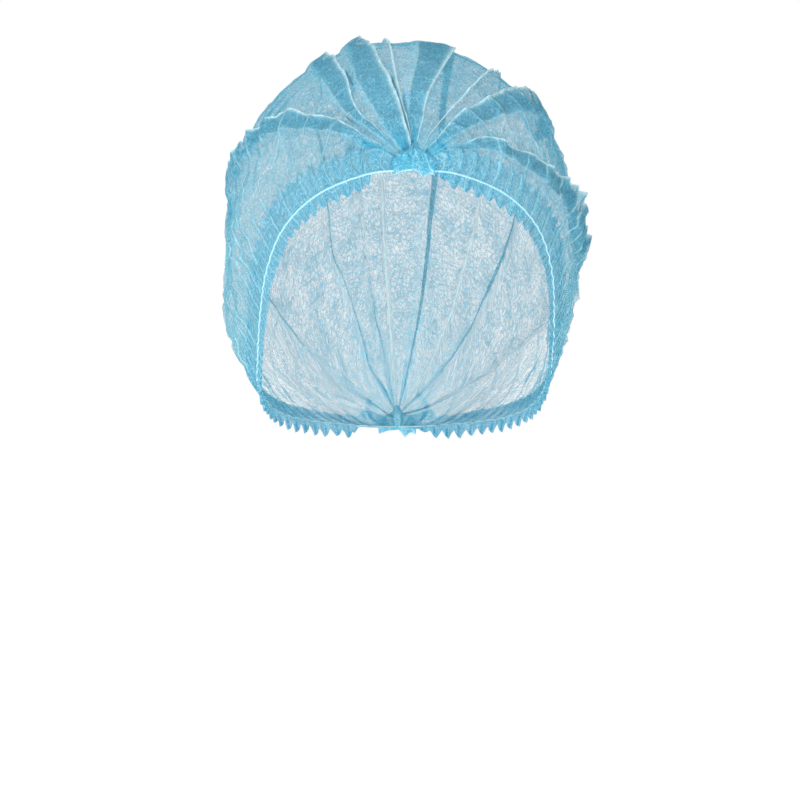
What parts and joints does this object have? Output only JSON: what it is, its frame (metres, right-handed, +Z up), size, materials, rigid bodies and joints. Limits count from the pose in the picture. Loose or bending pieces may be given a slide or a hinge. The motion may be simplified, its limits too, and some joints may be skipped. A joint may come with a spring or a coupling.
{
  "type": "disposable hairnet",
  "caption": "Disposable pleated clip cap of light blue nonwoven cloth, gathered at front and back, with a crimped elastic hem, in the dome form it takes when worn.",
  "frame": {"origin": "the point on the inside of the crown where the top of the wearer's head bears", "axes": "+Z up, the forehead faces -Y and the nape +Y, +X is the wearer's left"},
  "size_m": [0.1785, 0.2119, 0.1994],
  "materials": {
    "cloth": "thin see-through spunbond nonwoven, light blue, with loose curly fibres",
    "hem": "doubled spunbond nonwoven, crimped",
    "elastic": "thin pale elastic cord in the fold of the hem",
    "gather": "pleats bunched and welded, deeper blue"
  },
  "bodies": {
    "root": {"crown": "cloth", "hem_right": "hem", "hem_left": "hem", "elastic_right": "elastic", "elastic_left": "elastic", "gather_front": "gather", "gather_back": "gather"}
  },
  "joints": []
}
